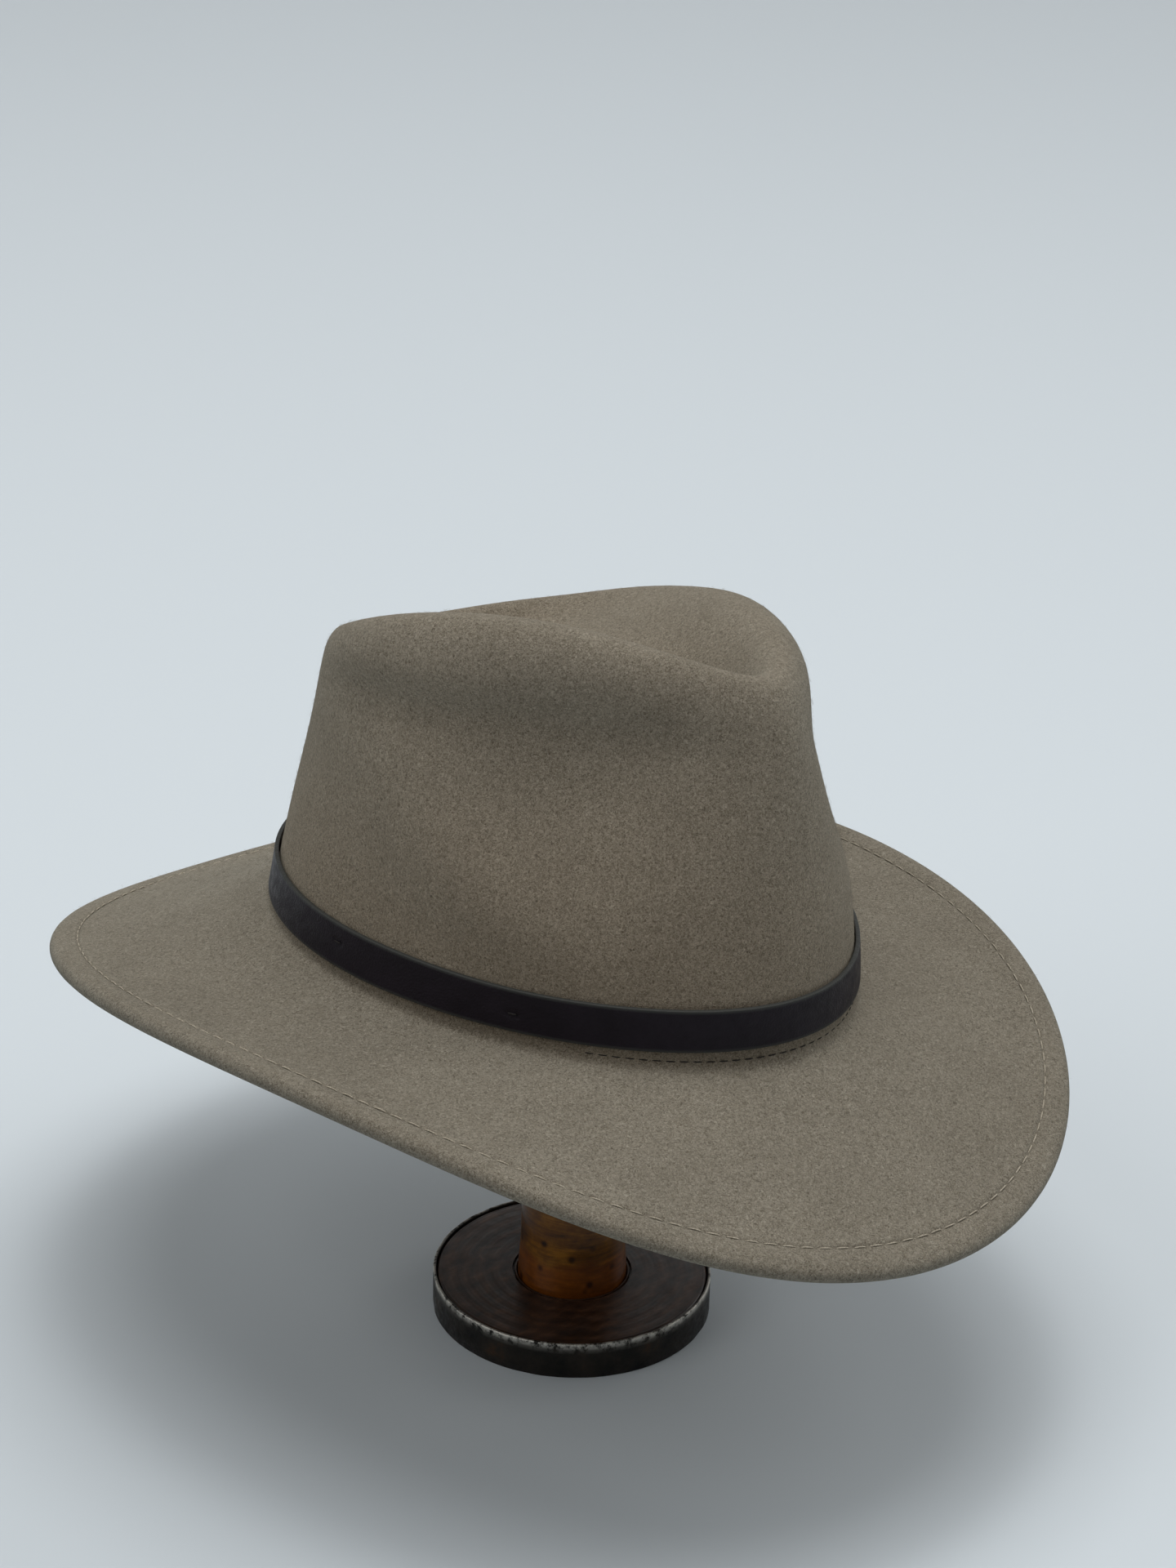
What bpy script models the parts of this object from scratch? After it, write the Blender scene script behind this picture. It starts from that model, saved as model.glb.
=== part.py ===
"""Felt hat with a pinched teardrop crown, a leather band and a stitched, turned brim edge, set on a
small spool stand: an iron-hooped wooden plate, a round column and a plain round head inside the crown.

Metres, +Z up. The hat's front faces -Y. The origin is the centre of the plate's underside.
"""
import bpy
import numpy as np

# Head oval, measured on the felt where the brim breaks away from the crown
HEAD_LENGTH = 0.2112
HEAD_WIDTH = 0.1750

# Crown
CROWN_HEIGHT = 0.120
CROWN_LEAN = 8.0
FELT_WALL = 0.0020
FOOT_FILLET = 0.0035

# Brim, from the head oval to the middle of its rolled edge
BRIM_WIDTH = 0.0749
BRIM_DROP = 0.0470
EDGE_RADIUS = 0.0022
WELT_WIDTH = 0.0110
WELT_STEP = 0.0008

# Leather pieces
BAND_HEIGHT = 0.0136
BAND_THICKNESS = 0.0015
BAND_LIFT = 0.0022
BAND_FRONT_LIFT = 0.0048
SWEATBAND_HEIGHT = 0.0300
SWEATBAND_THICKNESS = 0.0010
SWEATBAND_DROP = 0.0010

# Clearance between pieces that touch
SEAT = 0.0003

# How the hat sits on its stand
HAT_HEIGHT = 0.1442
HAT_SHIFT_X = -0.0022
HAT_SHIFT_Y = 0.0030
HAT_PITCH = 1.85
HAT_ROLL = 3.67

# Stand
BASE_RADIUS = 0.0482
BASE_HEIGHT = 0.0134
HOOP_THICKNESS = 0.0011
HOOP_PROUD = 0.0006
COLUMN_RADIUS = 0.0180
COLUMN_FOOT_RADIUS = 0.0188
COLUMN_FOOT_HEIGHT = 0.0160
COLUMN_NECK_RADIUS = 0.0172
SOCKET_DEPTH = 0.0062
HEAD_RADIUS = 0.0340
HEAD_SIDE = 0.0080
HEAD_DOME = 0.0080
HEAD_SOCKET_DEPTH = 0.0100

# Mesh counts
COLUMNS = 64
CROWN_ROWS = 19
EDGE_ROWS = 4
TURNED_COLUMNS = 32

# Rings that steer the crown, from the foot of the wall over the ridge down to the floor of the dent.
# front, back: reach as shares of half the head length. half: half width as a share of half the head
# width. egg: how much narrower the front is. The last four are heights as shares of the crown's height
# at the front, a third of the way round, two thirds round and at the back.
RING_COLUMNS = ("front", "back", "half", "egg", "z_front", "z_fore", "z_rear", "z_back")
CROWN_RINGS = (
    (1.000, 1.000, 1.000, 0.106, 0.000, 0.000, 0.000, 0.000),
    (0.962, 1.000, 0.935, 0.090, 0.270, 0.250, 0.270, 0.120),
    (0.920, 0.940, 0.902, 0.130, 0.405, 0.395, 0.420, 0.360),
    (0.865, 0.868, 0.868, 0.200, 0.612, 0.620, 0.610, 0.585),
    (0.818, 0.782, 0.880, 0.320, 0.816, 0.838, 0.778, 0.708),
    (0.722, 0.720, 0.765, 0.430, 0.990, 1.016, 0.892, 0.736),
    (0.595, 0.655, 0.560, 0.445, 0.950, 1.000, 0.835, 0.636),
    (0.535, 0.550, 0.296, 0.370, 0.786, 0.800, 0.755, 0.617),
    (0.510, 0.470, 0.150, 0.300, 0.725, 0.740, 0.715, 0.622),
    (0.480, 0.400, 0.050, 0.200, 0.718, 0.728, 0.700, 0.632),
)

# Dishes pressed into both sides of the crown, and the swelling under them, which has a negative depth.
# depth is a share of the head width, forward and along are shares of half the head length, and height,
# above and below are shares of the crown height: along, above and below say how far each one reaches.
# slope tips its long axis, rising towards the front.
DISH_COLUMNS = ("depth", "forward", "height", "along", "above", "below", "slope")
SIDE_DISHES = (
    (0.072, 0.48, 0.75, 0.30, 0.129, 0.270, 0.03),
    (0.024, -0.03, 0.74, 0.36, 0.053, 0.085, 0.11),
    (-0.036, 0.29, 0.39, 0.35, 0.155, 0.170, -0.33),
)
DISH_BLEND = 0.14
WALL_SHARE = 0.555
WALL_FADE = 0.020

# The brim at the front, fore quarter, side, rear quarter and back. width and drop are shares of the
# brim's width and drop; slope is the angle of the surface at the edge, in degrees, rising outwards.
BRIM_COLUMNS = ("width", "drop", "slope")
BRIM_STATIONS = (
    (0.965, 0.732, -25.0),
    (0.916, 0.283, -8.0),
    (0.798, 0.070, 11.0),
    (0.940, 0.509, -2.0),
    (1.000, 1.000, -17.0),
)

# Rows of the brim's top between the foot and the welt, as shares of that distance
BRIM_ROWS = (0.0, 0.16, 0.36, 0.58, 0.80)


def column(table, names, name):
    """One named column of a table as an array."""
    return np.array([row[names.index(name)] for row in table])


def around(values, angle):
    """Smooth value at an angle from the front, through values equally spaced from front to back."""
    last = len(values) - 1
    steps = np.arange(last + 1)
    weight = np.where((steps == 0) | (steps == last), 0.5, 1.0)
    waves = np.cos(np.pi * np.outer(steps, steps) / last)
    gains = 2.0 / last * weight * (waves @ (weight * np.asarray(values)))
    return np.cos(np.outer(angle, steps)) @ gains


def spline_weights(shares, count):
    """Weights of a clamped cubic spline with evenly spaced knots, a row for each share."""
    degree = 3
    knots = np.concatenate((np.zeros(degree), np.linspace(0.0, 1.0, count - degree + 1), np.ones(degree)))
    shares = np.clip(shares, 0.0, 1.0 - 1e-9)[:, None]
    weights = ((knots[:-1] <= shares) & (shares < knots[1:])).astype(float)
    for step in range(1, degree + 1):
        rise = knots[step:-1] - knots[:-step - 1]
        fall = knots[step + 1:] - knots[1:-step]
        left = (shares - knots[:-step - 1]) / np.where(rise > 0, rise, 1.0) * (rise > 0)
        right = (knots[step + 1:] - shares) / np.where(fall > 0, fall, 1.0) * (fall > 0)
        weights = left * weights[:, :-1] + right * weights[:, 1:]
    return weights


def ring_points(row, angle):
    """One closed ring round the crown, by angle from the front towards the wearer's right."""
    front, back, half, egg = row[:4]
    reach_front = front * HEAD_LENGTH / 2
    reach_back = back * HEAD_LENGTH / 2
    x = -half * HEAD_WIDTH / 2 * (1 - egg * np.cos(angle)) * np.sin(angle)
    y = -(reach_front + reach_back) / 2 * np.cos(angle) - (reach_front - reach_back) / 2
    return np.stack((x, y, CROWN_HEIGHT * around(row[4:], angle)), axis=-1)


def press_dishes(points, shares):
    """Pushes both sides of the crown's wall inwards, most at the middle of each dish."""
    pressed = points.copy()
    wall = 1 / (1 + np.exp((shares - WALL_SHARE) / WALL_FADE))[:, None]
    side = np.tanh(points[..., 0] / (DISH_BLEND * HEAD_WIDTH / 2))
    for depth, forward, height, along, above, below, slope in SIDE_DISHES:
        ahead = points[..., 1] + forward * HEAD_LENGTH / 2
        off_y = ahead / (along * HEAD_LENGTH / 2)
        off_z = points[..., 2] + slope * ahead - height * CROWN_HEIGHT
        off_z = off_z / (np.where(off_z > 0, above, below) * CROWN_HEIGHT)
        pressed[..., 0] -= side * depth * HEAD_WIDTH * np.exp(-off_y ** 2 - off_z ** 2) * wall
    return pressed


def crown_points(shares, angle):
    """The crown's outer surface, a row for each share from the foot to the dent's floor."""
    rings = np.stack([ring_points(row, angle) for row in CROWN_RINGS])
    points = np.einsum("uk,kta->uta", spline_weights(shares, len(CROWN_RINGS)), rings)
    points = press_dishes(points, shares)
    rise = np.clip(points[..., 2] / CROWN_HEIGHT, 0.0, 1.0) ** 2
    points[..., 2] -= np.tan(np.radians(CROWN_LEAN)) * points[..., 0] * rise
    return points


def head_oval(angle):
    """The head oval in plan and its outward direction."""
    egg = CROWN_RINGS[0][3]
    points = ring_points(CROWN_RINGS[0], angle)
    along_x = -HEAD_WIDTH / 2 * ((1 - egg * np.cos(angle)) * np.cos(angle) + egg * np.sin(angle) ** 2)
    along_y = HEAD_LENGTH / 2 * np.sin(angle)
    length = np.hypot(along_x, along_y)
    outward = np.stack((-along_y / length, along_x / length, 0 * length), axis=-1)
    return points, outward


def brim_station(angle):
    """Width, edge height and edge slope of the brim at each angle."""
    width = BRIM_WIDTH * around(column(BRIM_STATIONS, BRIM_COLUMNS, "width"), angle)
    height = -BRIM_DROP * around(column(BRIM_STATIONS, BRIM_COLUMNS, "drop"), angle)
    slope = np.radians(around(column(BRIM_STATIONS, BRIM_COLUMNS, "slope"), angle))
    return width, height, slope


def brim_point(share, angle):
    """A point of the brim's top. A share of 0 is on the head oval and 1 is over the edge's middle."""
    oval, outward = head_oval(angle)
    width, height, slope = brim_station(angle)
    end_w = width - EDGE_RADIUS * np.sin(slope)
    end_z = height + EDGE_RADIUS * np.cos(slope)
    start = 2 * end_z / end_w - np.tan(slope)
    across = share * end_w
    rise = start * across + (np.tan(slope) - start) * across * share / 2
    return oval + outward * across[:, None] + np.array((0, 0, 1)) * rise[:, None]


def surface_normals(points):
    """Outward normals of a grid whose rows close on themselves."""
    round_way = np.roll(points, -1, axis=1) - np.roll(points, 1, axis=1)
    down_way = np.gradient(points, axis=0)
    normals = np.cross(round_way, down_way)
    length = np.linalg.norm(normals, axis=-1, keepdims=True)
    return normals / np.maximum(length, 1e-12)


def felt_skin(angle):
    """The felt's outer skin, from the dent's floor out to the edge, with the felt's thickness by row."""
    shares = np.linspace(1.0, 0.0, CROWN_ROWS + 1)[:-1]
    start = FOOT_FILLET / (CROWN_HEIGHT * CROWN_RINGS[1][4]) / (len(CROWN_RINGS) - 3) / 3
    rows = list(crown_points(np.append(shares, start), angle))
    oval, outward = head_oval(angle)
    width = brim_station(angle)[0]
    foot = FOOT_FILLET / width
    above = rows[-1]
    beyond = brim_point(foot, angle)
    for share in (0.33, 0.66):
        rows.append((1 - share) ** 2 * above + 2 * share * (1 - share) * oval + share ** 2 * beyond)
    welt = 1 - (WELT_WIDTH - EDGE_RADIUS) / width
    step = WELT_STEP / width / 2
    for share in BRIM_ROWS:
        rows.append(brim_point(foot + share * (welt - step - foot), angle))
    thin = len(rows) + 1
    for share in (welt - step, welt + step, (welt + step + 1) / 2, np.ones_like(width)):
        rows.append(brim_point(share, angle))
    thickness = np.full(len(rows), FELT_WALL)
    thickness[thin:] = 2 * EDGE_RADIUS
    return np.array(rows), thickness


def edge_rows(angle):
    """The rolled edge, from just past its top round to just short of its underside."""
    oval, outward = head_oval(angle)
    width, height, slope = brim_station(angle)
    middle = oval + outward * width[:, None] + np.array((0, 0, 1)) * height[:, None]
    level = outward * np.cos(slope)[:, None] + np.array((0, 0, 1)) * np.sin(slope)[:, None]
    upright = -outward * np.sin(slope)[:, None] + np.array((0, 0, 1)) * np.cos(slope)[:, None]
    turns = np.linspace(np.pi / 2, -np.pi / 2, EDGE_ROWS + 2)[1:-1]
    return [middle + EDGE_RADIUS * (level * np.cos(turn) + upright * np.sin(turn)) for turn in turns]


def ring_faces(first, second, count):
    """Quads between two rings of points, given where each ring starts."""
    here = np.arange(count)
    there = (here + 1) % count
    return np.stack((first + here, first + there, second + there, second + here), axis=-1).tolist()


def floor_faces(start, count, flip):
    """Closes a narrow ring by joining each point to the one across from it."""
    faces = [(start, start + 1, start + count - 1)]
    for near in range(1, count // 2 - 1):
        far = count - near
        faces.append((start + near, start + near + 1, start + far - 1, start + far))
    faces.append((start + count // 2 - 1, start + count // 2, start + count // 2 + 1))
    return [tuple(reversed(face)) for face in faces] if flip else faces


def material(name, colour, roughness, metallic):
    """A plain surface with one colour."""
    made = bpy.data.materials.new(name)
    made.use_nodes = True
    shader = made.node_tree.nodes["Principled BSDF"]
    shader.inputs["Base Color"].default_value = (*colour, 1.0)
    shader.inputs["Roughness"].default_value = roughness
    shader.inputs["Metallic"].default_value = metallic
    return made


def add_object(name, points, faces, look, parent=None, sharp=40):
    """Makes one named object from points and faces."""
    mesh = bpy.data.meshes.new(name)
    mesh.from_pydata(np.asarray(points).tolist(), [], faces)
    mesh.update()
    mesh.shade_smooth()
    mesh.set_sharp_from_angle(angle=np.radians(sharp))
    mesh.materials.append(look)
    made = bpy.data.objects.new(name, mesh)
    bpy.context.scene.collection.objects.link(made)
    made.parent = parent
    return made


def felt_body(angle, look, parent):
    """Crown and brim, blocked from one piece of felt."""
    skin, thickness = felt_skin(angle)
    lining = skin - surface_normals(skin) * thickness[:, None, None]
    edge = edge_rows(angle)
    oval, outward = head_oval(angle)
    width, height, slope = brim_station(angle)
    lining[-1] = 2 * (oval + outward * width[:, None] + np.array((0, 0, 1)) * height[:, None]) - skin[-1]
    rings = list(skin) + edge + list(lining[::-1])
    count = len(angle)
    faces = []
    for row in range(len(rings) - 1):
        faces += ring_faces(row * count, (row + 1) * count, count)
    faces += floor_faces(0, count, True)
    faces += floor_faces((len(rings) - 1) * count, count, False)
    return add_object("felt_body", np.concatenate(rings), faces, look, parent)


def wall_at(heights, angle, inside):
    """Points of the felt wall at given heights, with the level outward direction there."""
    skin, thickness = felt_skin(angle)
    normals = surface_normals(skin)
    if inside:
        skin = skin - normals * thickness[:, None, None]
    ridge = CROWN_ROWS // 2 + 2
    low = CROWN_ROWS + 3
    points = np.empty((len(angle), 3))
    level = np.empty((len(angle), 3))
    seat = np.maximum(heights, 1.5 * FOOT_FILLET) if inside else heights
    for place in range(len(angle)):
        run = skin[ridge:low + 1, place][::-1]
        turn = normals[ridge:low + 1, place][::-1]
        for axis in range(2):
            points[place, axis] = np.interp(seat[place], run[:, 2], run[:, axis])
            level[place, axis] = np.interp(seat[place], run[:, 2], turn[:, axis])
    points[:, 2] = heights
    level[:, 2] = 0
    return points, level / np.linalg.norm(level, axis=1)[:, None]


def leather_loop(name, angle, bottom, height, gap, thickness, inside, look, parent, rows):
    """A strap that follows the felt wall at an even gap, closed into a loop."""
    near = []
    away = []
    for share in rows:
        points, level = wall_at(bottom + share * height, angle, inside)
        sign = -1 if inside else 1
        near.append(points + sign * gap * level)
        away.append(points + sign * (gap + thickness) * level)
    loop = near + away[::-1]
    count = len(angle)
    faces = []
    for row in range(len(loop)):
        faces += ring_faces(row * count, (row + 1) % len(loop) * count, count)
    if inside:
        faces = [tuple(reversed(face)) for face in faces]
    return add_object(name, np.concatenate(loop), faces, look, parent)


def turned(name, profile, look):
    """A solid turned about Z. The profile runs from the axis at the top, outwards and down to the axis."""
    spin = np.linspace(0, 2 * np.pi, TURNED_COLUMNS, endpoint=False)
    points = []
    faces = []
    starts = []
    for radius, height in profile:
        starts.append(len(points))
        if radius == 0:
            points.append((0.0, 0.0, height))
        else:
            points += [(radius * np.cos(a), radius * np.sin(a), height) for a in spin]
    count = TURNED_COLUMNS
    pairs = list(zip(starts[:-1], starts[1:], profile[:-1], profile[1:]))
    if profile[0][0] != 0:
        pairs.append((starts[-1], starts[0], profile[-1], profile[0]))
    for first, second, upper, lower in pairs:
        for here in range(count):
            there = (here + 1) % count
            if upper[0] == 0:
                faces.append((first, second + here, second + there))
            elif lower[0] == 0:
                faces.append((first + there, first + here, second))
            else:
                faces.append((first + there, first + here, second + here, second + there))
    return add_object(name, points, faces, look, sharp=30)


def dome_drop(radius):
    """How far the stand's domed head has fallen away from its crest at a distance from its axis."""
    sphere = (HEAD_RADIUS ** 2 + HEAD_DOME ** 2) / (2 * HEAD_DOME)
    return sphere - np.sqrt(sphere ** 2 - radius ** 2)


def head_top_height(hat, felt):
    """How high the crest of the stand's head can reach under the felt, less the clearance."""
    mesh = felt.data
    points = np.array([vertex.co for vertex in mesh.vertices])
    low = len(points) - (CROWN_ROWS + 1) * COLUMNS
    edges = np.array([edge.vertices for edge in mesh.edges])
    edges = edges[(edges >= low).all(axis=1)]
    centres = np.array([face.center for face in mesh.polygons if min(face.vertices) >= low])
    points = np.concatenate((points[low:], points[edges].mean(axis=1), centres))
    turn = np.array(hat.matrix_world)
    points = points @ turn[:3, :3].T + turn[:3, 3]
    radius = np.hypot(points[:, 0], points[:, 1])
    over = radius < HEAD_RADIUS
    return (points[over, 2] + dome_drop(radius[over])).min() - SEAT


def build():
    """Builds the whole hat and its stand."""
    for item in list(bpy.data.objects):
        bpy.data.objects.remove(item)
    felt_look = material("felt", (0.150, 0.125, 0.095), 0.95, 0.0)
    band_look = material("band_leather", (0.014, 0.011, 0.014), 0.55, 0.0)
    sweat_look = material("sweatband_leather", (0.070, 0.040, 0.025), 0.60, 0.0)
    plate_look = material("plate_wood", (0.045, 0.022, 0.012), 0.45, 0.0)
    column_look = material("column_wood", (0.300, 0.110, 0.030), 0.35, 0.0)
    iron_look = material("hoop_iron", (0.060, 0.055, 0.050), 0.50, 0.9)

    hat = bpy.data.objects.new("hat_place", None)
    bpy.context.scene.collection.objects.link(hat)
    hat.rotation_mode = "YXZ"
    hat.location = (HAT_SHIFT_X, HAT_SHIFT_Y, HAT_HEIGHT)
    hat.rotation_euler = (np.radians(HAT_PITCH), np.radians(HAT_ROLL), 0.0)
    bpy.context.view_layer.update()

    angle = np.linspace(0, 2 * np.pi, COLUMNS, endpoint=False)
    felt = felt_body(angle, felt_look, hat)
    lift = BAND_LIFT + BAND_FRONT_LIFT * (1 + np.cos(angle)) / 2
    leather_loop("hat_band", angle, lift, BAND_HEIGHT, SEAT, BAND_THICKNESS, False, band_look, hat,
                 (0.0, 0.5, 1.0))
    drop = np.full(COLUMNS, -SWEATBAND_DROP)
    leather_loop("sweatband", angle, drop, SWEATBAND_HEIGHT, SEAT, SWEATBAND_THICKNESS, True, sweat_look,
                 hat, (0.0, 0.34, 0.67, 1.0))

    plate_radius = BASE_RADIUS - HOOP_THICKNESS - SEAT
    plate_top = BASE_HEIGHT - HOOP_PROUD
    socket = plate_top - SOCKET_DEPTH
    hole = COLUMN_FOOT_RADIUS + SEAT
    turned("stand_base", ((0.0, socket), (hole, socket), (hole, plate_top), (plate_radius - 0.0006, plate_top),
                          (plate_radius, plate_top - 0.0006), (plate_radius, 0.0), (0.0, 0.0)), plate_look)
    inner = BASE_RADIUS - HOOP_THICKNESS
    turned("base_hoop", ((inner, BASE_HEIGHT), (BASE_RADIUS - 0.0003, BASE_HEIGHT),
                         (BASE_RADIUS, BASE_HEIGHT - 0.0003), (BASE_RADIUS, 0.0), (inner, 0.0)), iron_look)

    head_top = head_top_height(hat, felt)
    head_low = head_top - HEAD_DOME - HEAD_SIDE
    column_top = head_low + HEAD_SOCKET_DEPTH
    foot = socket + SEAT
    flare = [(COLUMN_FOOT_RADIUS + (COLUMN_RADIUS - COLUMN_FOOT_RADIUS) * share * share * (3 - 2 * share),
              plate_top + COLUMN_FOOT_HEIGHT * share) for share in (1.0, 0.75, 0.5, 0.25, 0.0)]
    turned("stand_column", [(0.0, column_top - SEAT), (COLUMN_NECK_RADIUS, column_top - SEAT),
                            (COLUMN_NECK_RADIUS, head_low - SEAT), (COLUMN_RADIUS, head_low - SEAT)] + flare
           + [(COLUMN_FOOT_RADIUS, foot), (0.0, foot)], column_look)
    dome = [(radius, head_top - dome_drop(radius)) for radius in HEAD_RADIUS * np.linspace(0.0, 1.0, 7)]
    bore = COLUMN_NECK_RADIUS + SEAT
    turned("stand_head", dome + [(HEAD_RADIUS, head_low), (bore, head_low), (bore, column_top),
                                 (0.0, column_top)], column_look)


build()
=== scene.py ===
"""Felt hat with a pinched teardrop crown, a leather band and a sewn, turned brim edge, on its spool stand.

The fine surfaces and the finishes of felt, leather, thread, wood and iron, laid over the plain solids.
Lengths are metres. The hat's front faces -Y, and angles run from the front towards the wearer's right.
"""

import bpy
import numpy as np
from mathutils import Matrix, Vector


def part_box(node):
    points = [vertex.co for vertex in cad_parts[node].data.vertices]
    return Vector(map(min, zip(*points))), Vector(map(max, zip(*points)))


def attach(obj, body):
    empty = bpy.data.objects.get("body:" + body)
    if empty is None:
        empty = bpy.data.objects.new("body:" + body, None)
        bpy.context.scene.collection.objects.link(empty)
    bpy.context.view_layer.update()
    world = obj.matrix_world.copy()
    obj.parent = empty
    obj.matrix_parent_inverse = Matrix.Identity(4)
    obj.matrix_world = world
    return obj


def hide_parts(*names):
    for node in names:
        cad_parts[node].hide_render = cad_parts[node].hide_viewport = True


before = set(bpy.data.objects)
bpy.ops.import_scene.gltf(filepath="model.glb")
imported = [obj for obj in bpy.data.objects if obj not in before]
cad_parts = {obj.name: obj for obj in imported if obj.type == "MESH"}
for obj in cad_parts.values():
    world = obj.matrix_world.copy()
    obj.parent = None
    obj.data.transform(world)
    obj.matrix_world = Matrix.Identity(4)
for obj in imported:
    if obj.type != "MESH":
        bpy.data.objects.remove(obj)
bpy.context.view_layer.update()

# Sizes of the hat, as the solids have them
HEAD_LENGTH = 0.2112
HEAD_WIDTH = 0.1750
CROWN_HEIGHT = 0.120
CROWN_LEAN = 8.0
FELT_WALL = 0.0020
FOOT_FILLET = 0.0035
BRIM_WIDTH = 0.0749
BRIM_DROP = 0.0470
EDGE_RADIUS = 0.0022
WELT_WIDTH = 0.0110
WELT_STEP = 0.0008
BAND_HEIGHT = 0.0136
BAND_THICKNESS = 0.0015
BAND_LIFT = 0.0022
BAND_FRONT_LIFT = 0.0048
SWEATBAND_HEIGHT = 0.0300
SWEATBAND_THICKNESS = 0.0010
SWEATBAND_DROP = 0.0010
SEAT = 0.0003
HAT_PLACE = (-0.0022, 0.0030, 0.1442)
HAT_PITCH = 1.85
HAT_ROLL = 3.67

# Sizes of the stand
BASE_RADIUS = 0.0482
BASE_HEIGHT = 0.0134
HOOP_THICKNESS = 0.0011
HOOP_PROUD = 0.0006
COLUMN_RADIUS = 0.0180
COLUMN_FOOT_RADIUS = 0.0188
COLUMN_FOOT_HEIGHT = 0.0160
COLUMN_NECK_RADIUS = 0.0172
SOCKET_DEPTH = 0.0062
HEAD_RADIUS = 0.0340
HEAD_SIDE = 0.0080
HEAD_DOME = 0.0080
HEAD_SOCKET_DEPTH = 0.0100

# Sewing, rolled edge and nap, finer than the solids
STITCH_INSET = 0.0093
STITCH_PITCH = 0.0060
STITCH_LENGTH = 0.0047
THREAD_RADIUS = 0.00023
GROOVE_DEPTH = 0.00026
GROOVE_WIDTH = 0.00060
RIM_RADIUS = 0.0030
SEAM_PITCH = 0.0042
SEAM_LENGTH = 0.0031
SEAM_RADIUS = 0.00018
SEAM_HEIGHT = 0.0031
SEAM_REACH = 49.0
NAP_FIBRES = 12500
NAP_LENGTH = 0.0016
NAP_RADIUS = 0.000032

# Slow waves of the felt, and how far it swells on both sides of the sewn line
LONG_WAVE = 0.00022
SHORT_WAVE = 0.00016
OUTER_PUFF = 0.00034
INNER_PUFF = 0.00018

# How far the band waves off the felt, and how deep it sinks at a needle hole and round a tack
BAND_WAVE = 0.00045
HOLE_DEPTH = 0.00075
TACK_DEPTH = 0.00030

# Points round and rows down the fine surfaces
COLUMNS = 320
CROWN_ROWS = 84
BRIM_ROWS = 30
BAND_COLUMNS = 900
NAP_COLUMNS = 720
SEWING_COLUMNS = 1440
PLATE_COLUMNS = 160
HOOP_COLUMNS = 240
COLUMN_COLUMNS = 128

# Room: half the floor's side, height of the ceiling lights, spread of the walls' glow
FLOOR_REACH = 9.0
CEILING = 3.0
GLOW_SPREAD = 44.0
CEILING_LAMPS = (
    ("ceiling_panel", 2.2, 40.0),
    ("ceiling_lamp", 0.6, 8.0),
)
WALL_GLOWS = (
    ("left_wall", (0.768, -0.190, -0.616), 0.64),
    ("right_wall", (-0.768, 0.190, -0.616), 0.54),
    ("far_wall", (0.218, -0.753, -0.616), 0.25),
    ("near_wall", (-0.218, 0.753, -0.616), 0.18),
    ("right_ceiling", (-0.457, 0.113, -0.883), 0.24),
    ("back_wall", (-0.610, -0.610, -0.505), 0.17),
)

# Camera: focal length as a share of the frame's long side, its place before the swing, its turns in degrees
SENSOR = 36.0
FOCAL_SHARE = 4274.0 / 1920.0
CAMERA_PLACE = (0.0, -1.0328, 0.6693)
CAMERA_SWING = -44.36
CAMERA_DIP = 24.54
CAMERA_PAN = 0.0466
CAMERA_ROLL = 1.6

# The rings that steer the crown, as shares: front, back, half width, egg, and heights at the front, a
# third of the way round, two thirds round and at the back
CROWN_RINGS = (
    (1.000, 1.000, 1.000, 0.106, 0.000, 0.000, 0.000, 0.000),
    (0.962, 1.000, 0.935, 0.090, 0.270, 0.250, 0.270, 0.120),
    (0.920, 0.940, 0.902, 0.130, 0.405, 0.395, 0.420, 0.360),
    (0.865, 0.868, 0.868, 0.200, 0.612, 0.620, 0.610, 0.585),
    (0.818, 0.782, 0.880, 0.320, 0.816, 0.838, 0.778, 0.708),
    (0.722, 0.720, 0.765, 0.430, 0.990, 1.016, 0.892, 0.736),
    (0.595, 0.655, 0.560, 0.445, 0.950, 1.000, 0.835, 0.636),
    (0.535, 0.550, 0.296, 0.370, 0.786, 0.800, 0.755, 0.617),
    (0.510, 0.470, 0.150, 0.300, 0.725, 0.740, 0.715, 0.622),
    (0.480, 0.400, 0.050, 0.200, 0.718, 0.728, 0.700, 0.632),
)

# Dishes in the crown's sides, and the swelling under them: depth, forward, height, along, above, below, slope
SIDE_DISHES = (
    (0.072, 0.48, 0.75, 0.30, 0.129, 0.270, 0.03),
    (0.024, -0.03, 0.74, 0.36, 0.053, 0.085, 0.11),
    (-0.036, 0.29, 0.39, 0.35, 0.155, 0.170, -0.33),
)
DISH_BLEND = 0.14
WALL_SHARE = 0.555
WALL_FADE = 0.020

# Brim at the front, fore quarter, side, rear quarter and back: width, drop, slope of the edge
BRIM_STATIONS = (
    (0.965, 0.732, -25.0),
    (0.916, 0.283, -8.0),
    (0.798, 0.070, 11.0),
    (0.940, 0.509, -2.0),
    (1.000, 1.000, -17.0),
)

# Two tacks that hold the band: angle from the front, share of the band's height
BAND_TACKS = ((61.7, 0.42), (99.0, 0.57))
TACK_LENGTH = 0.0030

UP = np.array((0.0, 0.0, 1.0))


def round_angles(count):
    """Angles spaced evenly round a full turn."""
    return np.linspace(0, 2 * np.pi, count, endpoint=False)


def around(values, angle):
    """Cosine series in the angle that passes through values spaced evenly from front to back."""
    last = len(values) - 1
    steps = np.arange(last + 1)
    weight = np.where((steps == 0) | (steps == last), 0.5, 1.0)
    waves = np.cos(np.pi * np.outer(steps, steps) / last)
    gains = 2.0 / last * weight * (waves @ (weight * np.asarray(values)))
    return np.cos(np.outer(angle, steps)) @ gains


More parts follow.
